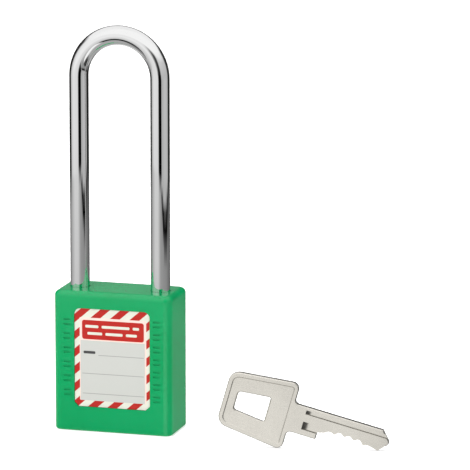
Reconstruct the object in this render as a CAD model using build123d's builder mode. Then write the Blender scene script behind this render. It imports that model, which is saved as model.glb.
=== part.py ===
from build123d import *
from math import asin, atan2, cos, degrees, hypot, radians, sin, sqrt
import os

os.makedirs("parts", exist_ok=True)

# A long-shackle safety padlock with its key. Millimetres, +Z up along the shackle, front towards -Y.
# The origin is the middle of the flat base. The heel leg of the shackle is at -X, the toe leg at +X.
# The lock is drawn closed but not locked: the plug stands a quarter turn from home, the balls are drawn in.

# ---- Driving dimensions ----

# Body
leg_to_side = 6.0
body_depth = 18.0
body_height = 44.0
body_corner_radius = 2.5
body_top_radius = 1.8
body_bottom_radius = 0.8
roof_thickness = 3.2
pocket_corner_radius = 0.8

# Shackle
rod_diameter = 6.0
leg_spacing = 26.0
vertical_clearance = 76.0
shackle_travel = 18.0
heel_end_chamfer = 0.6
toe_end_chamfer = 0.9
notch_to_leg_end = 5.4

# Ball locking
ball_below_top = 8.6
notch_depth = 1.775
hold_depth = 0.5
cam_lobe_radius = 5.28
cam_height = 7.6
cam_to_ball_gap = 0.14
ball_travel = 1.9
cam_stem_radius = 3.2
cam_pivot_radius = 1.5
cage_wall = 1.2
cage_roof = 1.3
tang_width = 2.0
tang_depth = 1.0

# Cylinder
plug_radius = 5.0
plug_head_step = 0.6
plug_head_thickness = 1.0
plug_face_recess = 0.3
keyway_past_key = 0.3
housing_past_keyway = 0.2
housing_wall = 1.6
collar_wall = 0.7
clip_step = 0.35
clip_thickness = 0.6
clip_groove_depth = 0.6
plug_tail = 2.0

# Pins
pin_count = 5
pin_diameter = 2.3
pin_pitch = 3.05
first_pin_from_shoulder = 3.6
driver_length = 3.6
pin_wall = 1.6
key_pin_chamfer = 0.35
driver_chamfer = 0.175
pin_spring_wire = 0.26
pin_spring_turns = 6
chamber_cover_thickness = 1.0
chamber_cover_wall = 1.0

# Retaining screw
screw_diameter = 2.5
screw_head_diameter = 4.4
screw_head_height = 1.4
screw_slot_width = 0.7
screw_slot_depth = 0.6
screw_wall = 1.15
screw_gap = 1.2
toe_gap = 2.6

# Shackle spring
spring_wire = 0.7
spring_turns = 7
follower_thickness = 1.1
follower_boss_length = 2.0
follower_chamfer = 0.3
spring_floor = 1.8

# Base cover
cover_thickness = 1.8
cover_rim = 3.0
cover_side_rim = 1.8
cover_web = 0.75
cover_corner_radius = 2.0
lug_width = 5.0
lug_height = 0.7
lug_reach = 0.5

# Labels and moulded marks
label_width = 24.2
label_height = 30.9
label_bottom = 7.9
label_top_radius = 1.9
label_bottom_chamfer = 1.3
label_recess = 0.45
label_thickness = 0.2
mark_length = 2.2
mark_bar_height = 0.6
mark_bar_gap = 1.5
mark_depth = 0.25
mark_gap = 1.25
left_mark_count = 6
left_mark_pitch = 4.45
right_mark_count = 7
right_mark_pitch = 3.93

# Key
key_thickness = 2.1
blade_height = 6.8
blade_length = 21.8
blade_tip_length = 2.7
blade_nose_height = 0.8
keyway_offset = 0.3
neck_length = 9.0
neck_extra = 2.1
bow_length = 21.4
bow_neck_height = 21.7
bow_end_height = 16.9
bow_neck_radius = 2.1
bow_end_radius = 3.4
neck_fillet = 1.3
window_start = 16.5
window_length = 10.0
window_near_height = 8.0
window_far_height = 5.9
window_near_radius = 0.5
window_far_radius = 1.0
rim_width = 1.25
rim_recess = 0.25
rim_slope = 45.0
window_chamfer = 0.3
groove_start = 5.0
upper_groove_top = 0.95
upper_groove_width = 1.25
upper_groove_depth = 0.6
lower_groove_top = 4.6
lower_groove_width = 2.5
lower_groove_depth = 0.7
groove_cutter_radius = 4.0
cut_depths = (1.3, 1.8, 1.7, 1.5, 0.7)
cut_flat = 0.9
cut_ridge = 0.75
key_edge_chamfer = 0.25
key_turn = 10.0
key_rest_x = 84.1
key_rest_y = -7.3
same_place = 0.01

# Clearances
rod_clearance = 0.1
ball_clearance = 0.1
seat_clearance = 0.1
slide_clearance = 0.05
plug_clearance = 0.05
key_clearance = 0.1
cam_clearance = 0.15

# ---- Places worked out from the driving dimensions ----

body_width = leg_spacing + 2 * leg_to_side
rod_radius = rod_diameter / 2
leg_x = leg_spacing / 2
leg_bore_radius = rod_radius + rod_clearance
bend_height = body_height + vertical_clearance - (leg_x - rod_radius)

ball_height = body_height - ball_below_top
leg_face_x = leg_x - rod_radius
ball_outer_x = leg_face_x + notch_depth
ball_radius = (ball_outer_x - cam_lobe_radius - cam_to_ball_gap) / 2
locked_ball_x = ball_outer_x - ball_radius
toe_ball_x = locked_ball_x - ball_travel
heel_ball_x = leg_face_x + hold_depth - ball_radius
notch_radius = ball_radius + ball_clearance
cross_bore_radius = ball_radius + ball_clearance

open_notch_height = ball_height - shackle_travel
heel_end_height = open_notch_height - notch_to_leg_end
toe_end_height = ball_height - notch_to_leg_end
toe_bore_floor = toe_end_height - toe_gap - screw_head_height

pin_radius = pin_diameter / 2
chamber_radius = pin_radius + slide_clearance
pin_heights = [plug_face_recess + first_pin_from_shoulder + pin_pitch * i for i in range(pin_count)]
last_chamber_top = pin_heights[-1] + chamber_radius
key_pin_end = sqrt(plug_radius**2 - pin_radius**2)

plug_bore_radius = plug_radius + plug_clearance
plug_head_radius = plug_radius + plug_head_step
housing_radius = plug_bore_radius + housing_wall
collar_radius = plug_head_radius + plug_clearance + collar_wall
keyway_end = plug_face_recess + blade_length + keyway_past_key
housing_top = keyway_end + housing_past_keyway
clip_bottom = housing_top + slide_clearance
clip_top = clip_bottom + clip_thickness
plug_end = clip_top + plug_tail
clip_radius = plug_radius + clip_step
clip_groove_radius = plug_radius - clip_groove_depth

cage_pocket_radius = max(cam_lobe_radius, clip_radius) + cam_clearance
cage_half_depth = max(housing_radius, cage_pocket_radius + cage_wall)
leg_bore_web = cage_wall + seat_clearance
cavity_half_width = leg_x - leg_bore_radius - leg_bore_web
cage_half_width = cavity_half_width - seat_clearance
cavity_half_depth = cage_half_depth + seat_clearance
cavity_top = body_height - roof_thickness
cage_top = cavity_top - seat_clearance
cage_pocket_top = cage_top - cage_roof
cam_bottom = plug_end + slide_clearance
lobe_bottom = ball_height - cam_height / 2
lobe_top = cage_pocket_top - seat_clearance

bible_half_depth = chamber_radius + pin_wall
bible_end = leg_x + screw_diameter / 2 + screw_wall
bible_top = housing_top - seat_clearance
chamber_end = bible_end - chamber_cover_wall - chamber_cover_thickness
chamber_cover_width = 2 * (chamber_radius + seat_clearance)
chamber_cover_top = last_chamber_top + slide_clearance + seat_clearance
screw_tip = chamber_cover_top + screw_gap
driver_start = plug_bore_radius + slide_clearance
driver_end = driver_start + driver_length

heel_bore_floor = cover_thickness + spring_floor
follower_bottom = heel_end_height - follower_thickness
follower_radius = rod_radius - slide_clearance
spring_radius = rod_radius - spring_wire

cover_half_width = body_width / 2 - cover_rim
cover_half_depth = max(body_depth / 2 - cover_side_rim, collar_radius + seat_clearance + cover_web)
lug_height_centre = cover_thickness / 2

label_middle = label_bottom + label_height / 2
mark_x = label_width / 2 + mark_gap + mark_length / 2
mark_columns = ((-1, left_mark_count, left_mark_pitch), (1, right_mark_count, right_mark_pitch))

blade_middle = blade_height / 2
neck_height = blade_height + neck_extra
bow_middle = -neck_height / 2
keyway_plain_edge = -(blade_height / 2 + keyway_offset)


def front_plane(y):
    """A plane facing the front at the given y, with its own x along +X and its own y along +Z."""
    return Plane(origin=(0, y, 0), x_dir=(1, 0, 0), z_dir=(0, -1, 0))


def back_plane(y):
    """A plane facing the back at the given y, with its own x along -X and its own y along +Z."""
    return Plane(origin=(0, y, 0), x_dir=(-1, 0, 0), z_dir=(0, 1, 0))


def label_outline(margin):
    """The label's outline, rounded above and cut off below, grown by margin all round."""
    width = label_width + 2 * margin
    height = label_height + 2 * margin
    with Locations((0, label_middle)):
        Rectangle(width, height)
    fillet(vertices().group_by(Axis.Y)[-1], label_top_radius + margin)
    chamfer(vertices().group_by(Axis.Y)[0], label_bottom_chamfer)


# ---- Body shell ----

with BuildPart() as body_shell:
    with BuildSketch(Plane.XY):
        RectangleRounded(body_width, body_depth, body_corner_radius)
    extrude(amount=body_height)
    fillet(body_shell.faces().sort_by(Axis.Z)[-1].edges(), body_top_radius)
    fillet(body_shell.faces().sort_by(Axis.Z)[0].edges(), body_bottom_radius)
    # central cavity for the cylinder and the ball cage
    with BuildSketch(Plane.XY):
        RectangleRounded(2 * cavity_half_width, 2 * cavity_half_depth, pocket_corner_radius)
    extrude(amount=cavity_top, mode=Mode.SUBTRACT)
    # pocket for the pin block, below the toe leg's bore
    with BuildSketch(Plane.XY):
        with Locations((bible_end / 2, 0)):
            Rectangle(bible_end + 2 * seat_clearance, 2 * (bible_half_depth + seat_clearance))
    extrude(amount=bible_top + seat_clearance, mode=Mode.SUBTRACT)
    # recess for the base cover, with a slot for each of its lugs
    with BuildSketch(Plane.XY):
        RectangleRounded(
            2 * (cover_half_width + seat_clearance),
            2 * (cover_half_depth + seat_clearance),
            cover_corner_radius + seat_clearance,
        )
    extrude(amount=cover_thickness, mode=Mode.SUBTRACT)
    with BuildSketch(Plane.XY.offset(lug_height_centre - lug_height / 2 - slide_clearance)):
        Rectangle(2 * (cover_half_width + lug_reach + seat_clearance), lug_width + 2 * seat_clearance)
    extrude(amount=lug_height + 2 * slide_clearance, mode=Mode.SUBTRACT)
    # leg bores: the heel's is deep and holds the spring, the toe's ends over the pin block
    with BuildSketch(Plane.XY.offset(heel_bore_floor)):
        with Locations((-leg_x, 0)):
            Circle(leg_bore_radius)
    extrude(amount=body_height - heel_bore_floor, mode=Mode.SUBTRACT)
    with BuildSketch(Plane.XY.offset(toe_bore_floor)):
        with Locations((leg_x, 0)):
            Circle(leg_bore_radius)
    extrude(amount=body_height - toe_bore_floor, mode=Mode.SUBTRACT)
    with BuildSketch(Plane.XY.offset(bible_top)):
        with Locations((leg_x, 0)):
            Circle(screw_diameter / 2 + seat_clearance)
    extrude(amount=toe_bore_floor - bible_top, mode=Mode.SUBTRACT)
    # cross bore for the balls, from one leg bore to the other
    with BuildSketch(Plane.YZ.offset(-leg_x)):
        with Locations((0, ball_height)):
            Circle(cross_bore_radius)
    extrude(amount=2 * leg_x, mode=Mode.SUBTRACT)
    # label recesses
    with BuildSketch(front_plane(-body_depth / 2)):
        label_outline(seat_clearance)
    extrude(amount=-label_recess, mode=Mode.SUBTRACT)
    with BuildSketch(back_plane(body_depth / 2)):
        label_outline(seat_clearance)
    extrude(amount=-label_recess, mode=Mode.SUBTRACT)
    # two columns of plain moulded marks beside the front label, each mark a pair of short bars
    with BuildSketch(front_plane(-body_depth / 2)):
        for side, count, pitch in mark_columns:
            for i in range(count):
                middle = label_middle + pitch * (i - (count - 1) / 2)
                with Locations(
                    (side * mark_x, middle - mark_bar_gap / 2),
                    (side * mark_x, middle + mark_bar_gap / 2),
                ):
                    SlotOverall(mark_length, mark_bar_height)
    extrude(amount=-mark_depth, mode=Mode.SUBTRACT)

# ---- Base cover: clips into the shell and lets the cylinder's collar through ----

with BuildPart() as base_cover:
    with BuildSketch(Plane.XY):
        RectangleRounded(2 * cover_half_width, 2 * cover_half_depth, cover_corner_radius)
        Circle(collar_radius + seat_clearance, mode=Mode.SUBTRACT)
    extrude(amount=cover_thickness)
    with BuildSketch(Plane.XY.offset(lug_height_centre - lug_height / 2)):
        for side in (-1, 1):
            with Locations((side * cover_half_width, 0)):
                Rectangle(2 * lug_reach, lug_width)
    extrude(amount=lug_height)

# ---- Labels ----

label_face = body_depth / 2 - label_recess

with BuildPart() as front_label:
    with BuildSketch(front_plane(-label_face)):
        label_outline(0)
    extrude(amount=label_thickness)

with BuildPart() as back_label:
    with BuildSketch(back_plane(label_face)):
        label_outline(0)
    extrude(amount=label_thickness)

# ---- Shackle ----

with BuildPart() as shackle:
    with BuildLine(Plane.XZ):
        Line((-leg_x, heel_end_height), (-leg_x, bend_height))
        CenterArc((0, bend_height), leg_x, 180, -180)
        Line((leg_x, bend_height), (leg_x, toe_end_height))
    with BuildSketch(Plane.XY.offset(heel_end_height)):
        with Locations((-leg_x, 0)):
            Circle(rod_radius)
    sweep()
    leg_ends = shackle.faces().filter_by(Axis.Z).sort_by(Axis.X)
    chamfer(leg_ends[0].edges(), heel_end_chamfer)
    chamfer(leg_ends[-1].edges(), toe_end_chamfer)
    # ball seats: one in each leg for the closed lock, one more in the heel leg for the open lock
    with Locations(
        (-locked_ball_x, 0, ball_height),
        (locked_ball_x, 0, ball_height),
        (-locked_ball_x, 0, open_notch_height),
    ):
        Sphere(notch_radius, mode=Mode.SUBTRACT)
    # channel in which the heel ball keeps its hold as the shackle lifts
    with BuildSketch(Plane.XY.offset(open_notch_height)):
        with Locations((-heel_ball_x, 0)):
            Circle(notch_radius)
    extrude(amount=shackle_travel, mode=Mode.SUBTRACT)
    # groove round the heel leg, in which the heel ball lets the open shackle swing
    with BuildSketch(Plane.XZ):
        with Locations((-heel_ball_x, open_notch_height)):
            Circle(notch_radius)
    revolve(axis=Axis((-leg_x, 0, 0), (0, 0, 1)), mode=Mode.SUBTRACT)

# ---- Shackle spring and its follower ----

spring_start = heel_bore_floor + spring_wire / 2
spring_rise = follower_bottom - heel_bore_floor - spring_wire

with BuildPart() as shackle_spring:
    with BuildLine():
        spring_path = Helix(
            spring_rise / spring_turns,
            spring_rise,
            spring_radius,
            center=(-leg_x, 0, spring_start),
        )
    with BuildSketch(Plane(origin=spring_path @ 0, z_dir=spring_path % 0)):
        Circle(spring_wire / 2)
    sweep(is_frenet=True)

with BuildPart() as spring_follower:
    with BuildSketch(Plane.XY.offset(follower_bottom)):
        with Locations((-leg_x, 0)):
            Circle(follower_radius)
    extrude(amount=follower_thickness)
    with BuildSketch(Plane.XY.offset(follower_bottom)):
        with Locations((-leg_x, 0)):
            Circle(spring_radius - spring_wire / 2 - seat_clearance)
    extrude(amount=-follower_boss_length)
    chamfer(spring_follower.faces().sort_by(Axis.Z)[0].edges(), follower_chamfer)

# ---- Locking balls ----

with BuildPart() as heel_ball:
    with Locations((-heel_ball_x, 0, ball_height)):
        Sphere(ball_radius)

with BuildPart() as toe_ball:
    with Locations((toe_ball_x, 0, ball_height)):
        Sphere(ball_radius)

# ---- Ball cage ----

with BuildPart() as ball_cage:
    with BuildSketch(Plane.XY.offset(housing_top)):
        RectangleRounded(2 * cage_half_width, 2 * cage_half_depth, pocket_corner_radius)
    extrude(amount=cage_top - housing_top)
    with BuildSketch(Plane.XY.offset(housing_top)):
        Circle(cage_pocket_radius)
    extrude(amount=cage_pocket_top - housing_top, mode=Mode.SUBTRACT)
    with BuildSketch(Plane.XY.offset(cage_pocket_top)):
        Circle(cam_pivot_radius + slide_clearance)
    extrude(amount=cage_top - cage_pocket_top, mode=Mode.SUBTRACT)
    with BuildSketch(Plane.YZ.offset(-cage_half_width)):
        with Locations((0, ball_height)):
            Circle(cross_bore_radius)
    extrude(amount=2 * cage_half_width, mode=Mode.SUBTRACT)

# ---- Locking cam: rises evenly from each waist to the lobes, so the balls move evenly with the turn ----

toe_waist = toe_ball_x - ball_radius - cam_to_ball_gap
heel_waist = heel_ball_x - ball_radius - cam_to_ball_gap
cam_points_per_quarter = 5


def cam_quarter(waist, middle, direction):
    """A quarter of the cam, from its waist at the middle angle to the lobe a quarter turn away."""
    points = []
    for i in range(cam_points_per_quarter + 1):
        share = i / cam_points_per_quarter
        angle = radians(middle + 90 * direction * share)
        radius = waist + (cam_lobe_radius - waist) * share
        points.append((radius * cos(angle), radius * sin(angle)))
    Spline(*points)


with BuildPart() as locking_cam:
    with BuildSketch(Plane.XY.offset(lobe_bottom)):
        with BuildLine():
            cam_quarter(toe_waist, 0, 1)
            cam_quarter(heel_waist, 180, -1)
            cam_quarter(heel_waist, 180, 1)
            cam_quarter(toe_waist, 0, -1)
        make_face()
    extrude(amount=lobe_top - lobe_bottom)
    with BuildSketch(Plane.XY.offset(cam_bottom)):
        Circle(cam_stem_radius)
    extrude(amount=lobe_bottom - cam_bottom)
    with BuildSketch(Plane.XY.offset(lobe_top)):
        Circle(cam_pivot_radius)
    extrude(amount=cage_top - lobe_top - seat_clearance)
    # tang that sits in the end of the plug
    with BuildSketch(Plane.XY.offset(cam_bottom)):
        Rectangle(2 * cam_stem_radius, tang_width)
    extrude(amount=-tang_depth)

# ---- Cylinder housing ----

with BuildPart() as cylinder_housing:
    with BuildSketch(Plane.XY.offset(cover_thickness)):
        Circle(housing_radius)
    extrude(amount=housing_top - cover_thickness)
    with BuildSketch(Plane.XY.offset(cover_thickness)):
        with Locations((bible_end / 2, 0)):
            Rectangle(bible_end, 2 * bible_half_depth)
    extrude(amount=bible_top - cover_thickness)
    with BuildSketch(Plane.XY.offset(plug_face_recess)):
        Circle(collar_radius)
    extrude(amount=cover_thickness - plug_face_recess)
    # bore for the plug and a wider seat for its head
    with BuildSketch(Plane.XY.offset(plug_face_recess)):
        Circle(plug_bore_radius)
    extrude(amount=housing_top - plug_face_recess, mode=Mode.SUBTRACT)
    with BuildSketch(Plane.XY.offset(plug_face_recess)):
        Circle(plug_head_radius + plug_clearance)
    extrude(amount=plug_head_thickness + slide_clearance, mode=Mode.SUBTRACT)
    # pin chambers
    with BuildSketch(Plane.YZ):
        for height in pin_heights:
            with Locations((0, height)):
                Circle(chamber_radius)
    extrude(amount=chamber_end, mode=Mode.SUBTRACT)
    # slot for the chamber cover, open at the bottom
    with BuildSketch(Plane.XY.offset(cover_thickness)):
        with Locations((chamber_end + chamber_cover_thickness / 2, 0)):
            Rectangle(chamber_cover_thickness, chamber_cover_width + 2 * seat_clearance)
    extrude(amount=chamber_cover_top - cover_thickness, mode=Mode.SUBTRACT)
    # thread for the retaining screw
    with BuildSketch(Plane.XY.offset(screw_tip)):
        with Locations((leg_x, 0)):
            Circle(screw_diameter / 2)
    extrude(amount=bible_top - screw_tip, mode=Mode.SUBTRACT)

with BuildPart() as chamber_cover:
    with BuildSketch(Plane.XY.offset(cover_thickness)):
        with Locations((chamber_end + chamber_cover_thickness / 2, 0)):
            Rectangle(chamber_cover_thickness - slide_clearance, chamber_cover_width)
    extrude(amount=chamber_cover_top - cover_thickness - slide_clearance)

with BuildPart() as retaining_screw:
    with BuildSketch(Plane.XY.offset(screw_tip)):
        with Locations((leg_x, 0)):
            Circle(screw_diameter / 2)
    extrude(amount=toe_bore_floor - screw_tip)
    with BuildSketch(Plane.XY.offset(toe_bore_floor)):
        with Locations((leg_x, 0)):
            Circle(screw_head_diameter / 2)
    extrude(amount=screw_head_height)
    with BuildSketch(Plane.XY.offset(toe_bore_floor + screw_head_height)):
        with Locations((leg_x, 0)):
            Rectangle(screw_head_diameter, screw_slot_width)
    extrude(amount=-screw_slot_depth, mode=Mode.SUBTRACT)


# ---- Key blade section, which the keyway follows ----

def blade_section():
    """Section of the blade: x runs down from the plain edge to the cut edge, y across the thickness."""
    half = key_thickness / 2
    with Locations((blade_middle, 0)):
        Rectangle(blade_height, key_thickness)
    with Locations((upper_groove_top + upper_groove_width / 2, half)):
        Rectangle(upper_groove_width, 2 * upper_groove_depth, mode=Mode.SUBTRACT)
    with Locations((lower_groove_top + blade_height / 2, half)):
        Rectangle(blade_height, 2 * lower_groove_depth, mode=Mode.SUBTRACT)


# ---- Cylinder plug, a quarter turn from home, with its pins towards -Y ----

def keyway_plane(height):
    """A plane across the plug with its own x towards the pins, from the blade's plain edge."""
    return Plane(origin=(0, -keyway_plain_edge, height), x_dir=(0, -1, 0), z_dir=(0, 0, 1))


with BuildPart() as cylinder_plug:
    with BuildSketch(Plane.XY.offset(plug_face_recess)):
        Circle(plug_radius)
    extrude(amount=plug_end - plug_face_recess)
    with BuildSketch(Plane.XY.offset(plug_face_recess)):
        Circle(plug_head_radius)
    extrude(amount=plug_head_thickness)
    with BuildSketch(keyway_plane(plug_face_recess)):
        blade_section()
        offset(amount=key_clearance, kind=Kind.INTERSECTION)
    extrude(amount=keyway_end - plug_face_recess, mode=Mode.SUBTRACT)
    with BuildSketch(Plane.XZ):
        for height in pin_heights:
            with Locations((0, height)):
                Circle(chamber_radius)
    extrude(amount=plug_head_radius, mode=Mode.SUBTRACT)
    # groove for the clip
    with BuildSketch(Plane.XY.offset(clip_bottom)):
        Circle(plug_radius)
        Circle(clip_groove_radius, mode=Mode.SUBTRACT)
    extrude(amount=clip_thickness, mode=Mode.SUBTRACT)
    # slot for the cam's tang
    with BuildSketch(Plane.XY.offset(plug_end)):
        Rectangle(2 * plug_radius, tang_width + 2 * slide_clearance)
    extrude(amount=-tang_depth, mode=Mode.SUBTRACT)

# ---- Plug clip, an open ring ----

with BuildPart() as plug_clip:
    with BuildSketch(Plane.XY.offset(clip_bottom)):
        Circle(clip_radius)
        Circle(clip_groove_radius, mode=Mode.SUBTRACT)
        with Locations((0, clip_radius)):
            Rectangle(clip_groove_radius, 2 * clip_radius, mode=Mode.SUBTRACT)
    extrude(amount=clip_thickness)

# ---- Pins and their springs ----

key_pins = []
driver_pins = []
pin_springs = []
pin_spring_radius = pin_radius - pin_spring_wire
pin_spring_length = chamber_end - driver_end
cut_edge_from_middle = keyway_plain_edge + blade_height

for height, depth in zip(pin_heights, cut_depths):
    pin_start = cut_edge_from_middle - depth

    with BuildPart() as key_pin:
        with BuildSketch(Plane.XZ.offset(pin_start)):
            with Locations((0, height)):
                Circle(pin_radius)
        extrude(amount=key_pin_end - pin_start)
        chamfer(key_pin.faces().sort_by(Axis.Y)[-1].edges(), key_pin_chamfer)
    key_pins.append(key_pin)

    with BuildPart() as driver_pin:
        with BuildSketch(Plane.YZ.offset(driver_start)):
            with Locations((0, height)):
                Circle(pin_radius)
        extrude(amount=driver_length)
        chamfer(driver_pin.faces().sort_by(Axis.X)[0].edges(), driver_chamfer)
    driver_pins.append(driver_pin)

    with BuildPart() as pin_spring:
        with BuildLine():
            coil = Helix(
                (pin_spring_length - pin_spring_wire) / pin_spring_turns,
                pin_spring_length - pin_spring_wire,
                pin_spring_radius,
                center=(driver_end + pin_spring_wire / 2, 0, height),
                direction=(1, 0, 0),
            )
        with BuildSketch(Plane(origin=coil @ 0, z_dir=coil % 0)):
            Circle(pin_spring_wire / 2)
        sweep(is_frenet=True)
    pin_springs.append(pin_spring)

# ---- Key: stands on the bow's lower corner and the point of the blade ----

# In the key's own plane x runs along the blade from the shoulder, and y is 0 on the blade's plain edge.
bow_start = -(neck_length + bow_length)
bow_corner_x = -(neck_length + bow_neck_radius)
bow_corner_y = bow_middle - bow_neck_height / 2 + bow_neck_radius
blade_point_x = blade_length - blade_tip_length
rest_run = blade_point_x - bow_corner_x
rest_rise = -blade_height - bow_corner_y
key_tilt = degrees(atan2(rest_rise, rest_run) + asin(bow_neck_radius / hypot(rest_run, rest_rise)))
tilt = radians(key_tilt)
turn = radians(key_turn)
blade_direction = Vector(cos(tilt) * cos(turn), cos(tilt) * sin(turn), -sin(tilt))
key_facing = Vector(sin(turn), -cos(turn), 0)
key_up = key_facing.cross(blade_direction)
key_rest_point = Vector(key_rest_x, key_rest_y, 0)
key_origin = key_rest_point - blade_direction * blade_point_x + key_up * blade_height


def key_plane(depth):
    """The key's own plane at the given depth in front of the middle of its thickness."""
    return Plane(origin=key_origin + key_facing * depth, x_dir=blade_direction, z_dir=key_facing)


def groove_plane(drop):
    """A plane across the blade at the given drop below its plain edge, x along it and y towards its face."""
    return Plane(origin=key_origin - key_up * drop, x_dir=blade_direction, z_dir=-key_up)


def trapezoid(start, length, far_height, near_height, middle):
    """A face from start along the blade, far_height tall at its start and near_height at its end."""
    Polygon(
        (start, middle - far_height / 2),
        (start + length, middle - near_height / 2),
        (start + length, middle + near_height / 2),
        (start, middle + far_height / 2),
        align=None,
    )


def bow_window():
    """The window in the bow, with larger corners at its far end."""
    window_end = -(window_start + window_length)
    trapezoid(window_end, window_length, window_far_height, window_near_height, bow_middle)
    fillet(vertices().group_by(Axis.X)[-1], window_near_radius)
    fillet(vertices().group_by(Axis.X)[0], window_far_radius)


def blade_outline():
    """Corner points of the blade and neck, with the cuts for the pins along its lower edge."""
    cuts = [first_pin_from_shoulder + pin_pitch * i for i in range(pin_count)]
    points = [(-neck_length - bow_neck_radius, 0), (blade_point_x, 0)]
    points.append((blade_length, -blade_middle + blade_nose_height / 2))
    points.append((blade_length, -blade_middle - blade_nose_height / 2))
    points.append((blade_point_x, -blade_height))
    for i in reversed(range(pin_count)):
        if i < pin_count - 1:
            ridge = (cut_depths[i] + cut_depths[i + 1]) / 2 - cut_ridge
            points.append((cuts[i] + pin_pitch / 2, -blade_height + ridge))
        points.append((cuts[i] + cut_flat / 2, -blade_height + cut_depths[i]))
        points.append((cuts[i] - cut_flat / 2, -blade_height + cut_depths[i]))
    points.append((cuts[0] - pin_pitch / 2, -blade_height + cut_depths[0] - cut_ridge))
    points.append((0, -blade_height))
    points.append((0, -neck_height))
    points.append((-neck_length - bow_neck_radius, -neck_height))
    return points


with BuildPart() as key:
    with BuildSketch(key_plane(-key_thickness / 2)):
        trapezoid(bow_start, bow_length, bow_end_height, bow_neck_height, bow_middle)
        fillet(vertices().group_by(Axis.X)[0], bow_end_radius)
        fillet(vertices().group_by(Axis.X)[-1], bow_neck_radius)
        Polygon(*blade_outline(), align=None)
        corners = vertices().filter_by_position(Axis.X, -neck_length - same_place, -neck_length + same_place)
        corners = corners.filter_by_position(Axis.Y, -neck_height - same_place, same_place)
        fillet(corners, neck_fillet)
    extrude(amount=key_thickness)
    chamfer(key.faces().filter_by(key_plane(0)).edges(), key_edge_chamfer)
    # shallow field with sloped sides inside the bow's rim, on both faces
    for side in (-1, 1):
        with BuildSketch(key_plane(side * key_thickness / 2)):
            trapezoid(bow_start, bow_length, bow_end_height, bow_neck_height, bow_middle)
            fillet(vertices().group_by(Axis.X)[0], bow_end_radius)
            fillet(vertices().group_by(Axis.X)[-1], bow_neck_radius)
            offset(amount=-rim_width)
        extrude(amount=-side * rim_recess, taper=rim_slope, mode=Mode.SUBTRACT)
    # window with chamfered edges
    with BuildSketch(key_plane(0)):
        bow_window()
    extrude(amount=key_thickness, both=True, mode=Mode.SUBTRACT)
    for side in (-1, 1):
        with BuildSketch(key_plane(side * (key_thickness / 2 - rim_recess))):
            bow_window()
            offset(amount=window_chamfer)
        extrude(amount=-side * window_chamfer, taper=rim_slope, mode=Mode.SUBTRACT)
    # milled grooves along the blade, each running out towards the bow as the round cutter left it
    for drop, width, depth in (
        (upper_groove_top, upper_groove_width, upper_groove_depth),
        (lower_groove_top, lower_groove_width, lower_groove_depth),
    ):
        cutter_start = sqrt(depth * (2 * groove_cutter_radius - depth)) - groove_start
        cutter_middle = key_thickness / 2 - depth + groove_cutter_radius
        groove_length = blade_length - cutter_start
        with BuildSketch(groove_plane(drop)):
            with Locations((cutter_start, cutter_middle)):
                Circle(groove_cutter_radius)
            with Locations((cutter_start + groove_length / 2, cutter_middle)):
                Rectangle(groove_length, 2 * groove_cutter_radius)
        extrude(amount=width, mode=Mode.SUBTRACT)

# ---- Names and files ----

pieces = {
    "body_shell": body_shell,
    "base_cover": base_cover,
    "front_label": front_label,
    "back_label": back_label,
    "shackle": shackle,
    "shackle_spring": shackle_spring,
    "spring_follower": spring_follower,
    "heel_ball": heel_ball,
    "toe_ball": toe_ball,
    "ball_cage": ball_cage,
    "locking_cam": locking_cam,
    "cylinder_housing": cylinder_housing,
    "chamber_cover": chamber_cover,
    "retaining_screw": retaining_screw,
    "cylinder_plug": cylinder_plug,
    "plug_clip": plug_clip,
    "key": key,
}
for i in range(pin_count):
    pieces[f"key_pin_{i + 1}"] = key_pins[i]
    pieces[f"driver_pin_{i + 1}"] = driver_pins[i]
    pieces[f"pin_spring_{i + 1}"] = pin_springs[i]

for name, piece in pieces.items():
    piece.part.label = name
    export_step(piece.part, f"parts/{name}.step")
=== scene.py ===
import math

import bpy
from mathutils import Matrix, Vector


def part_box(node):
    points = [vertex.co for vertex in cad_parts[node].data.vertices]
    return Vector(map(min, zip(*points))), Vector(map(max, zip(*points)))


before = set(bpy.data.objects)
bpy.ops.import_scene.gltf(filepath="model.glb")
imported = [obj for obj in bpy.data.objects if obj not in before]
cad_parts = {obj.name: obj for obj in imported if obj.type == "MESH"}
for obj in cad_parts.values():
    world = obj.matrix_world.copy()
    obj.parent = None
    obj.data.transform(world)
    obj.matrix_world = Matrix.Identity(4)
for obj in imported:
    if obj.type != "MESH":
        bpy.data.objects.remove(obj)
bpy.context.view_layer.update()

# A safety padlock with its key, as the CAD frame holds it, in a plain pale studio. Metres throughout.
MM = 0.001

# ---- Camera: the photograph's viewing angle ----

VIEW_AZIMUTH = math.radians(17.6)
VIEW_ELEVATION = math.radians(11.63)
VIEW_DISTANCE = 1.5
PIXELS_PER_METRE = 3246.0
PICTURE_WIDTH = 470
SENSOR_WIDTH = 36.0
LOOK_HEIGHT = 0.060
LOOK_RIGHT = 0.0354
LOOK_UP = 0.0005
CLIP_START = 0.05
CLIP_END = 20


def view_axes():
    """The directions from the object to the camera, to the picture's right and to its top."""
    cos_a, sin_a = math.cos(VIEW_AZIMUTH), math.sin(VIEW_AZIMUTH)
    cos_e, sin_e = math.cos(VIEW_ELEVATION), math.sin(VIEW_ELEVATION)
    back = Vector((sin_a * cos_e, -cos_a * cos_e, sin_e))
    right = Vector((cos_a, sin_a, 0))
    return back, right, back.cross(right)


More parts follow.
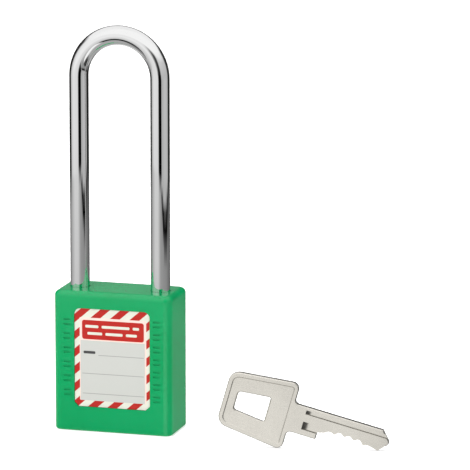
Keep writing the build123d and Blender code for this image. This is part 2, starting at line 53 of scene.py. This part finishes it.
def make_camera():
    back, right, up = view_axes()
    centre = Vector((0, 0, LOOK_HEIGHT))
    position = centre + back * VIEW_DISTANCE
    target = centre + right * LOOK_RIGHT + up * LOOK_UP
    data = bpy.data.cameras.new("camera")
    data.sensor_width = SENSOR_WIDTH
    data.lens = PIXELS_PER_METRE * VIEW_DISTANCE / PICTURE_WIDTH * SENSOR_WIDTH
    data.clip_start = CLIP_START
    data.clip_end = CLIP_END
    camera = bpy.data.objects.new("camera", data)
    bpy.context.scene.collection.objects.link(camera)
    camera.location = position
    camera.rotation_euler = (target - position).to_track_quat("-Z", "Y").to_euler()
    bpy.context.scene.camera = camera


# ---- Node helpers ----

# Most of a noise texture's values lie between these two.
NOISE_LOW = 0.3
NOISE_HIGH = 0.7


class Nodes:
    """Adds shader nodes to one new material and joins them."""

    def __init__(self, name, shader="ShaderNodeBsdfPrincipled"):
        self.material = bpy.data.materials.new(name)
        self.material.use_nodes = True
        self.tree = self.material.node_tree
        self.tree.nodes.clear()
        output = self.tree.nodes.new("ShaderNodeOutputMaterial")
        self.surface = self.tree.nodes.new(shader)
        self.tree.links.new(self.surface.outputs[0], output.inputs["Surface"])
        self.place = self.tree.nodes.new("ShaderNodeTexCoord").outputs["Object"]

    def add(self, kind, inputs=None, **settings):
        node = self.tree.nodes.new(kind)
        for key, value in settings.items():
            setattr(node, key, value)
        for key, value in (inputs or {}).items():
            self.set(node.inputs[key], value)
        return node

    def set(self, socket, value):
        """Joins a socket to another one, or gives it a constant."""
        if isinstance(value, bpy.types.NodeSocket):
            self.tree.links.new(value, socket)
        else:
            socket.default_value = value

    def math(self, operation, first, second=0.0):
        return self.add("ShaderNodeMath", {0: first, 1: second}, operation=operation).outputs[0]

    def mix(self, factor, first, second):
        node = self.add("ShaderNodeMix", data_type="RGBA")
        self.set(node.inputs["Factor"], factor)
        self.set(node.inputs["A"], first)
        self.set(node.inputs["B"], second)
        return node.outputs["Result"]

    def noise(self, scale, detail, roughness=0.5, stretch=None):
        place = self.place
        if stretch:
            place = self.add("ShaderNodeMapping", {"Vector": place, "Scale": stretch}).outputs[0]
        inputs = {"Vector": place, "Scale": scale, "Detail": detail, "Roughness": roughness}
        return self.add("ShaderNodeTexNoise", inputs).outputs["Fac"]

    def span(self, value, low, high, to_low, to_high):
        """The value's range from low to high, moved to the range from to_low to to_high."""
        inputs = {"Value": value, "From Min": low, "From Max": high, "To Min": to_low, "To Max": to_high}
        return self.add("ShaderNodeMapRange", inputs).outputs["Result"]

    def spread(self, noise, to_low, to_high):
        """A noise, spread over the range from to_low to to_high."""
        return self.span(noise, NOISE_LOW, NOISE_HIGH, to_low, to_high)

    def bump(self, height, strength, distance, normal=None):
        inputs = {"Height": height, "Strength": strength, "Distance": distance}
        if normal is not None:
            inputs["Normal"] = normal
        return self.add("ShaderNodeBump", inputs).outputs["Normal"]


def linear(red, green, blue):
    """A colour given in 0-255 display values, as linear RGBA."""
    def one(value):
        share = value / 255
        return share / 12.92 if share <= 0.04045 else ((share + 0.055) / 1.055) ** 2.4
    return (one(red), one(green), one(blue), 1.0)


def grey(brightness):
    return (brightness, brightness, brightness, 1)


# ---- Materials ----

GREEN_DEEP = linear(0, 155, 89)
GREEN_FRESH = linear(2, 159, 94)
CHROME_DULL = grey(0.86)
CHROME_BRIGHT = grey(0.92)
STEEL = (0.56, 0.57, 0.58, 1)
BRASS = (0.80, 0.60, 0.28, 1)
ZINC = (0.50, 0.51, 0.53, 1)
NICKEL_SILVER = (0.80, 0.77, 0.70, 1)
STAIN_SHARE = 0.9
ROUGHNESS_BELOW = 0.06
ROUGHNESS_ABOVE = 0.08
EVEN = (1, 1, 1)


def green_plastic():
    """Smooth moulded plastic with a faint orange peel and slight wear."""
    nodes = Nodes("green_plastic")
    cloud = nodes.span(nodes.noise(scale=60, detail=2), 0.35, 0.65, 0, 1)
    nodes.set(nodes.surface.inputs["Base Color"], nodes.mix(cloud, GREEN_DEEP, GREEN_FRESH))
    nodes.set(nodes.surface.inputs["Roughness"], nodes.spread(nodes.noise(scale=900, detail=3), 0.16, 0.24))
    nodes.surface.inputs["Specular IOR Level"].default_value = 0.5
    peel = nodes.bump(nodes.noise(scale=500, detail=2), strength=0.08, distance=0.03 * MM)
    grain = nodes.bump(nodes.noise(scale=5200, detail=2), strength=0.05, distance=0.01 * MM, normal=peel)
    nodes.set(nodes.surface.inputs["Normal"], grain)
    return nodes.material


def chrome():
    """Polished chrome plate with the faintest long ripples of the rod below it."""
    nodes = Nodes("chromed_steel")
    tint = nodes.spread(nodes.noise(scale=25, detail=2), 0, 1)
    nodes.set(nodes.surface.inputs["Base Color"], nodes.mix(tint, CHROME_DULL, CHROME_BRIGHT))
    nodes.surface.inputs["Metallic"].default_value = 1.0
    roughness = nodes.spread(nodes.noise(scale=300, detail=4), 0.015, 0.05)
    nodes.set(nodes.surface.inputs["Roughness"], roughness)
    ripples = nodes.noise(scale=60, detail=2, stretch=(1, 1, 0.15))
    nodes.set(nodes.surface.inputs["Normal"], nodes.bump(ripples, strength=0.05, distance=0.1 * MM))
    return nodes.material


def metal(name, color, roughness, scratch_stretch, scratch_strength):
    """A plain metal with fine directional scratches."""
    nodes = Nodes(name)
    stain = nodes.spread(nodes.noise(scale=90, detail=4), 0, 1)
    darker = tuple(part * STAIN_SHARE for part in color[:3]) + (1.0,)
    nodes.set(nodes.surface.inputs["Base Color"], nodes.mix(stain, darker, color))
    nodes.surface.inputs["Metallic"].default_value = 1.0
    scratches = nodes.noise(scale=1200, detail=3, roughness=0.6, stretch=scratch_stretch)
    spread_roughness = nodes.spread(scratches, roughness - ROUGHNESS_BELOW, roughness + ROUGHNESS_ABOVE)
    nodes.set(nodes.surface.inputs["Roughness"], spread_roughness)
    nodes.set(nodes.surface.inputs["Normal"], nodes.bump(scratches, scratch_strength, distance=0.02 * MM))
    return nodes.material


# ---- Label artwork, drawn across the label in its own x and z ----

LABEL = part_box("front_label")
LABEL_HALF = (LABEL[1].x - LABEL[0].x) / 2
LABEL_BOTTOM = LABEL[0].z
LABEL_TOP = LABEL[1].z
SOFT_EDGE = 0.05 * MM

PRINT_WHITE = linear(220, 220, 206)
PRINT_RED = linear(184, 27, 15)
PANEL_EDGE_COLOR = linear(240, 214, 204)
PANEL_COLOR = linear(197, 198, 193)
INK = linear(70, 70, 70)
LINE_INK = linear(150, 150, 148)

# the striped border
BAND_LEFT = 1.7 * MM
BAND_RIGHT = 1.1 * MM
BAND_TOP = 2.8 * MM
BAND_BOTTOM = 2.0 * MM
STRIPE_PITCH_ACROSS = 6.27 * MM
STRIPE_PITCH_UP = 5.45 * MM
STRIPE_PHASE = 0.96
STRIPE_HALF = 0.25
STRIPE_SOFT = 0.005

# the panel and its header
PANEL_EDGE = 0.45 * MM
PANEL_RADIUS = 0.3 * MM
HEADER_GAP = 0.75 * MM
HEADER_HEIGHT = 6.0 * MM
HEADER_RADIUS = 0.75 * MM

# each row of plain bars in the header: its drop below the header's top, and where its bars start and end,
# in millimetres
HEADER_ROWS = (
    (1.95, ((-8.6, -4.4), (-3.3, 5.6), (6.7, 8.7))),
    (4.15, ((-7.9, -3.2), (-2.1, 3.4), (4.5, 8.0))),
)
BAR_HALF = 0.4 * MM
BAR_RADIUS = 0.3 * MM

# the dark bar before the first line, and the lines to write on: each one's drop and start, in millimetres
NAME_BAR_DROP = 10.9 * MM
NAME_BAR_START = 1.2 * MM
NAME_BAR_END = 5.0 * MM
LINE_DROPS_AND_STARTS = ((11.7, 6.0), (17.6, 0.8), (23.9, 0.9))
LINE_END_GAP = 0.8 * MM
LINE_HALF = 0.07 * MM


def label_print(name, side):
    """The printed label: a striped border, a header with two rows of plain bars, and three writing lines.

    side is 1 for the front and -1 for the back, which reads the same way round from behind.
    """
    nodes = Nodes(name)
    split = nodes.add("ShaderNodeSeparateXYZ", {"Vector": nodes.place})
    x = nodes.math("MULTIPLY", split.outputs["X"], float(side))
    z = split.outputs["Z"]

    def reach_past(place, middle, half):
        """How far a place is past a band's edge, or 0 inside it."""
        distance = nodes.math("ABSOLUTE", nodes.math("SUBTRACT", place, middle))
        return nodes.math("MAXIMUM", nodes.math("SUBTRACT", distance, half), 0.0)

    def box(low_x, high_x, low_z, high_z, radius=0.0):
        """1 inside a rounded box and 0 outside it, with a soft edge."""
        over_x = reach_past(x, (low_x + high_x) / 2, (high_x - low_x) / 2 - radius)
        over_z = reach_past(z, (low_z + high_z) / 2, (high_z - low_z) / 2 - radius)
        square_x = nodes.math("MULTIPLY", over_x, over_x)
        square_z = nodes.math("MULTIPLY", over_z, over_z)
        reach = nodes.math("SQRT", nodes.math("ADD", square_x, square_z))
        return nodes.span(reach, radius, radius + SOFT_EDGE, 1.0, 0.0)

    across = nodes.math("DIVIDE", x, STRIPE_PITCH_ACROSS)
    upward = nodes.math("DIVIDE", z, STRIPE_PITCH_UP)
    stripe = nodes.math("FRACT", nodes.math("ADD", nodes.math("SUBTRACT", across, upward), STRIPE_PHASE))
    from_middle = nodes.math("ABSOLUTE", nodes.math("SUBTRACT", stripe, 0.5))
    is_red = nodes.span(from_middle, STRIPE_HALF - STRIPE_SOFT, STRIPE_HALF + STRIPE_SOFT, 1.0, 0.0)
    color = nodes.mix(is_red, PRINT_WHITE, PRINT_RED)

    left, right = -LABEL_HALF + BAND_LEFT, LABEL_HALF - BAND_RIGHT
    bottom, top = LABEL_BOTTOM + BAND_BOTTOM, LABEL_TOP - BAND_TOP
    inner_left, inner_right = left + PANEL_EDGE / 2, right - PANEL_EDGE
    color = nodes.mix(box(left, right, bottom, top, PANEL_RADIUS), color, PANEL_EDGE_COLOR)
    color = nodes.mix(box(inner_left, inner_right, bottom, top - PANEL_EDGE), color, PANEL_COLOR)

    header_top = top - HEADER_GAP
    header_bottom = header_top - HEADER_HEIGHT
    header_field = box(inner_left, inner_right, header_bottom - HEADER_GAP / 2, top)
    header = box(left + HEADER_GAP, right - HEADER_GAP, header_bottom, header_top, HEADER_RADIUS)
    color = nodes.mix(header_field, color, PANEL_EDGE_COLOR)
    color = nodes.mix(header, color, PRINT_RED)
    for drop, bars in HEADER_ROWS:
        row_z = header_top - drop * MM
        for start, end in bars:
            bar = box(start * MM, end * MM, row_z - BAR_HALF, row_z + BAR_HALF, BAR_RADIUS)
            color = nodes.mix(bar, color, PRINT_WHITE)

    name_z = top - NAME_BAR_DROP
    name_left, name_right = left + NAME_BAR_START, left + NAME_BAR_END
    name_bar = box(name_left, name_right, name_z - BAR_HALF, name_z + BAR_HALF, BAR_RADIUS)
    color = nodes.mix(name_bar, color, INK)
    for drop, start in LINE_DROPS_AND_STARTS:
        line_z = top - drop * MM
        line = box(left + start * MM, right - LINE_END_GAP, line_z - LINE_HALF, line_z + LINE_HALF)
        color = nodes.mix(line, color, LINE_INK)

    nodes.set(nodes.surface.inputs["Base Color"], color)
    nodes.set(nodes.surface.inputs["Roughness"], nodes.spread(nodes.noise(scale=500, detail=3), 0.38, 0.5))
    nodes.surface.inputs["Specular IOR Level"].default_value = 0.3
    grain = nodes.bump(nodes.noise(scale=2600, detail=2), strength=0.06, distance=0.01 * MM)
    nodes.set(nodes.surface.inputs["Normal"], grain)
    return nodes.material


# ---- Which piece has which material ----


def paint(material, *names):
    for name in names:
        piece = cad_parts[name]
        piece.data.materials.clear()
        piece.data.materials.append(material)


def numbered(stem):
    """The names of a repeated CAD node, such as key_pin_1, key_pin_2."""
    return [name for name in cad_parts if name.startswith(stem)]


def paint_everything():
    paint(green_plastic(), "body_shell", "base_cover")
    paint(label_print("front_print", 1), "front_label")
    paint(label_print("back_print", -1), "back_label")
    paint(chrome(), "shackle")
    steel = metal("steel", STEEL, 0.25, EVEN, 0.15)
    paint(steel, "shackle_spring", "heel_ball", "toe_ball", "retaining_screw", "plug_clip")
    paint(steel, *numbered("pin_spring"))
    brass = metal("brass", BRASS, 0.28, (1, 1, 6), 0.2)
    paint(brass, "cylinder_housing", "cylinder_plug", "chamber_cover")
    paint(brass, *numbered("key_pin"), *numbered("driver_pin"))
    zinc = metal("zinc", ZINC, 0.45, EVEN, 0.3)
    paint(zinc, "ball_cage", "locking_cam", "spring_follower")
    paint(metal("nickel_silver", NICKEL_SILVER, 0.24, (1, 1, 12), 0.07), "key")


# ---- Studio ----


def add_stage(name, vertices, faces, material):
    """A piece of the studio, which isn't part of the object."""
    mesh = bpy.data.meshes.new(name)
    mesh.from_pydata(vertices, [], faces)
    mesh.materials.append(material)
    piece = bpy.data.objects.new(name, mesh)
    bpy.context.scene.collection.objects.link(piece)
    return piece


LIGHTS_TARGET = (0, 0, 0.04)


def area_light(name, position, size, energy):
    data = bpy.data.lights.new(name, "AREA")
    data.shape = "RECTANGLE"
    data.size = size
    data.size_y = size
    data.energy = energy
    light = bpy.data.objects.new(name, data)
    bpy.context.scene.collection.objects.link(light)
    light.location = position
    light.rotation_euler = (Vector(LIGHTS_TARGET) - Vector(position)).to_track_quat("-Z", "Y").to_euler()


FLOOR_HALF = 3.0
FLOOR_GAP = 0.02 * MM
FLOOR_GLOW = 0.45


def make_floor():
    """A pale floor with a slight glow of its own, so that it stays pale far from the lights."""
    nodes = Nodes("floor")
    shade = nodes.mix(nodes.noise(scale=4, detail=2), grey(0.86), grey(0.90))
    nodes.set(nodes.surface.inputs["Base Color"], shade)
    nodes.surface.inputs["Roughness"].default_value = 0.9
    nodes.surface.inputs["Specular IOR Level"].default_value = 0.1
    nodes.surface.inputs["Emission Color"].default_value = grey(1)
    nodes.surface.inputs["Emission Strength"].default_value = FLOOR_GLOW
    signs = ((-1, -1), (1, -1), (1, 1), (-1, 1))
    corners = [(side * FLOOR_HALF, depth * FLOOR_HALF, -FLOOR_GAP) for side, depth in signs]
    floor = add_stage("floor", corners, [(0, 1, 2, 3)], nodes.material)
    floor.visible_glossy = False


RING_SIDES = 96


def ring(radius, height):
    """Points round the origin at one height."""
    turns = [2 * math.pi * i / RING_SIDES for i in range(RING_SIDES)]
    return [(radius * math.cos(turn), radius * math.sin(turn), height) for turn in turns]


def ring_wall_faces():
    """Faces that join two rings, the lower one listed first."""
    nexts = [(i + 1) % RING_SIDES for i in range(RING_SIDES)]
    return [(i, after, RING_SIDES + after, RING_SIDES + i) for i, after in enumerate(nexts)]


WALL_RADIUS = 2.9
WALL_HEIGHT = 3.0
WALL_GLOW = 1.02


def make_wall():
    """A plain white wall round the floor, seen by the camera only."""
    nodes = Nodes("wall", "ShaderNodeEmission")
    nodes.set(nodes.surface.inputs["Color"], nodes.mix(nodes.noise(scale=2, detail=1), grey(1), grey(0.98)))
    nodes.surface.inputs["Strength"].default_value = WALL_GLOW
    vertices = ring(WALL_RADIUS, 0) + ring(WALL_RADIUS, WALL_HEIGHT)
    wall = add_stage("wall", vertices, ring_wall_faces(), nodes.material)
    wall.visible_diffuse = False
    wall.visible_glossy = False
    wall.visible_shadow = False


# The reflector cards stand in a ring round the lock and show only as reflections. They are fixed in the room
# and graded so that from the front the chrome, the plastic and the key show light and dark lines
# close to the photograph's. Each level is a height and its shades round the ring: pairs of an angle in
# degrees, positive to the right of the front view, and a brightness.
CARD_RADIUS = 0.18
CARD_LOW = -0.14
CARD_HIGH = 0.45
LOW_SHADES = (
    (-180, 0.8), (-150, 0.8), (-120, 0.6), (-70, 0.08), (-50, 0.01), (-26, 0.02), (-20, 1.0), (18, 1.0),
    (28, 0.08), (50, 0.04), (90, 0.04), (100, 0.5), (126, 0.5), (134, 0.26), (154, 0.3), (165, 0.7),
    (180, 0.8),
)
CARD_LEVELS = (
    (-0.130, ((-180, 0.42), (180, 0.42))),
    (-0.060, LOW_SHADES),
    (-0.002, LOW_SHADES),
    (0.005, (
        (-180, 0.4), (-150, 0.1), (-125, 0.27), (-90, 0.5), (-60, 0.6), (-25, 0.6), (-10, 0.45),
        (5, 0.34), (35, 0.3), (70, 0.27), (95, 0.2), (125, 0.14), (150, 0.1), (170, 0.4), (180, 0.4),
    )),
    (0.016, (
        (-180, 0.4), (-150, 0.1), (-125, 0.27), (-90, 0.5), (-60, 0.66), (-25, 0.66), (-10, 0.5),
        (5, 0.34), (35, 0.3), (70, 0.27), (95, 0.2), (125, 0.14), (150, 0.1), (170, 0.4), (180, 0.4),
    )),
    (0.023, (
        (-180, 0.4), (-150, 0.1), (-125, 0.27), (-90, 0.5), (-60, 0.66), (-25, 0.66), (-10, 0.5),
        (5, 0.34), (38, 0.3), (48, 0.1), (75, 0.08), (90, 0.2), (125, 0.13), (150, 0.1), (170, 0.4),
        (180, 0.4),
    )),
    (0.0295, (
        (-180, 0.5), (-150, 0.1), (-125, 0.27), (-90, 0.5), (-60, 0.66), (-25, 0.66), (-10, 0.5),
        (5, 0.34), (28, 0.3), (34, 0.0), (84, 0.0), (92, 0.14), (125, 0.12), (150, 0.1), (170, 0.5),
        (180, 0.5),
    )),
    (0.036, (
        (-180, 0.5), (-150, 0.1), (-125, 0.27), (-90, 0.5), (-60, 0.68), (-25, 0.68), (-10, 0.5),
        (5, 0.38), (18, 0.3), (25, 0.0), (42, 0.01), (52, 0.1), (68, 0.08), (78, 0.0), (92, 0.01),
        (100, 0.12), (125, 0.12), (150, 0.1), (170, 0.5), (180, 0.5),
    )),
    (0.0405, (
        (-180, 0.7), (-155, 0.15), (-140, 0.1), (-115, 0.25), (-90, 0.5), (-60, 0.68), (-20, 0.68),
        (-8, 0.46), (10, 0.36), (18, 0.06), (30, 0.08), (42, 0.5), (72, 0.42), (84, 0.06), (105, 0.03),
        (116, 0.12), (150, 0.1), (170, 0.5), (180, 0.5),
    )),
    (0.045, (
        (-180, 0.4), (-155, 0.1), (-140, 0.04), (-112, 0.15), (-96, 0.5), (-60, 0.68), (-20, 0.68),
        (-10, 0.4), (-2, 0.12), (10, 0.12), (20, 0.46), (80, 0.5), (92, 0.3), (100, 0.03), (135, 0.02),
        (150, 0.1), (165, 0.36), (180, 0.4),
    )),
    (0.048, (
        (-180, 0.36), (-165, 0.3), (-152, 0.02), (-112, 0.01), (-98, 0.6), (-70, 0.76), (-20, 0.74),
        (-12, 0.1), (-9, 0.0), (18, 0.0), (21, 0.45), (60, 0.54), (94, 0.5), (102, 0.02), (145, 0.01),
        (165, 0.3), (180, 0.36),
    )),
    (0.088, (
        (-180, 0.36), (-165, 0.3), (-152, 0.02), (-112, 0.01), (-98, 0.7), (-70, 0.86), (-20, 0.8),
        (-12, 0.1), (-9, 0.0), (18, 0.0), (21, 0.45), (60, 0.58), (94, 0.5), (102, 0.02), (145, 0.01),
        (165, 0.3), (180, 0.36),
    )),
    (0.105, (
        (-180, 0.1), (-150, 0.02), (-112, 0.02), (-98, 0.7), (-70, 0.95), (-20, 0.9), (-10, 0.3),
        (-5, 0.02), (14, 0.02), (20, 0.55), (94, 0.5), (102, 0.03), (145, 0.02), (180, 0.1),
    )),
    (0.165, (
        (-180, 0.07), (-150, 0.02), (-112, 0.03), (-94, 0.8), (-60, 0.95), (-12, 0.85), (-2, 0.1),
        (12, 0.08), (22, 0.7), (94, 0.55), (104, 0.04), (145, 0.03), (180, 0.07),
    )),
    (0.200, (
        (-180, 0.05), (-112, 0.05), (-90, 0.9), (-60, 1.0), (0, 1.0), (60, 0.9), (96, 0.7), (110, 0.05),
        (180, 0.05),
    )),
    (0.240, ((-180, 0.9), (-60, 1.0), (60, 1.0), (180, 0.9))),
)


def make_cards():
    nodes = Nodes("reflector_cards", "ShaderNodeEmission")
    turn = {"Vector": nodes.place, "Angle": -VIEW_AZIMUTH}
    turned = nodes.add("ShaderNodeVectorRotate", turn, rotation_type="Z_AXIS")
    split = nodes.add("ShaderNodeSeparateXYZ", {"Vector": turned.outputs[0]})
    angle = nodes.math("ARCTAN2", split.outputs["X"], nodes.math("MULTIPLY", split.outputs["Y"], -1.0))
    share = nodes.span(angle, -math.pi, math.pi, 0.0, 1.0)
    color = None
    below = None
    for height, shades in CARD_LEVELS:
        ramp = nodes.add("ShaderNodeValToRGB", {"Fac": share})
        stops = ramp.color_ramp.elements
        stops.remove(stops[-1])
        for i, (degrees, brightness) in enumerate(shades):
            place = (degrees + 180) / 360
            stop = stops[0] if i == 0 else stops.new(place)
            stop.position = place
            stop.color = grey(brightness)
        if color is None:
            color = ramp.outputs["Color"]
        else:
            above = nodes.span(split.outputs["Z"], below, height, 0.0, 1.0)
            color = nodes.mix(above, color, ramp.outputs["Color"])
        below = height
    nodes.set(nodes.surface.inputs["Color"], color)
    nodes.surface.inputs["Strength"].default_value = 1.0
    vertices = ring(CARD_RADIUS, CARD_LOW) + ring(CARD_RADIUS, CARD_HIGH)
    bottom_and_top = [tuple(range(RING_SIDES)), tuple(range(RING_SIDES, 2 * RING_SIDES))]
    cards = add_stage("reflector_cards", vertices, ring_wall_faces() + bottom_and_top, nodes.material)
    cards.visible_camera = False
    cards.visible_diffuse = False
    cards.visible_transmission = False
    cards.visible_shadow = False


WORLD_STRENGTH = 0.60


def make_world():
    world = bpy.data.worlds.new("studio")
    bpy.context.scene.world = world
    world.use_nodes = True
    background = world.node_tree.nodes["Background"]
    background.inputs["Color"].default_value = grey(1)
    background.inputs["Strength"].default_value = WORLD_STRENGTH


def make_studio():
    make_floor()
    make_wall()
    make_cards()
    make_world()
    area_light("key_light", position=(-0.6, -0.8, 1.1), size=0.8, energy=6.7)
    area_light("top_light", position=(0, 0.1, 1.2), size=0.7, energy=9.5)
    view = bpy.context.scene.view_settings
    view.view_transform = "Standard"
    view.look = "None"


make_camera()
make_studio()
paint_everything()
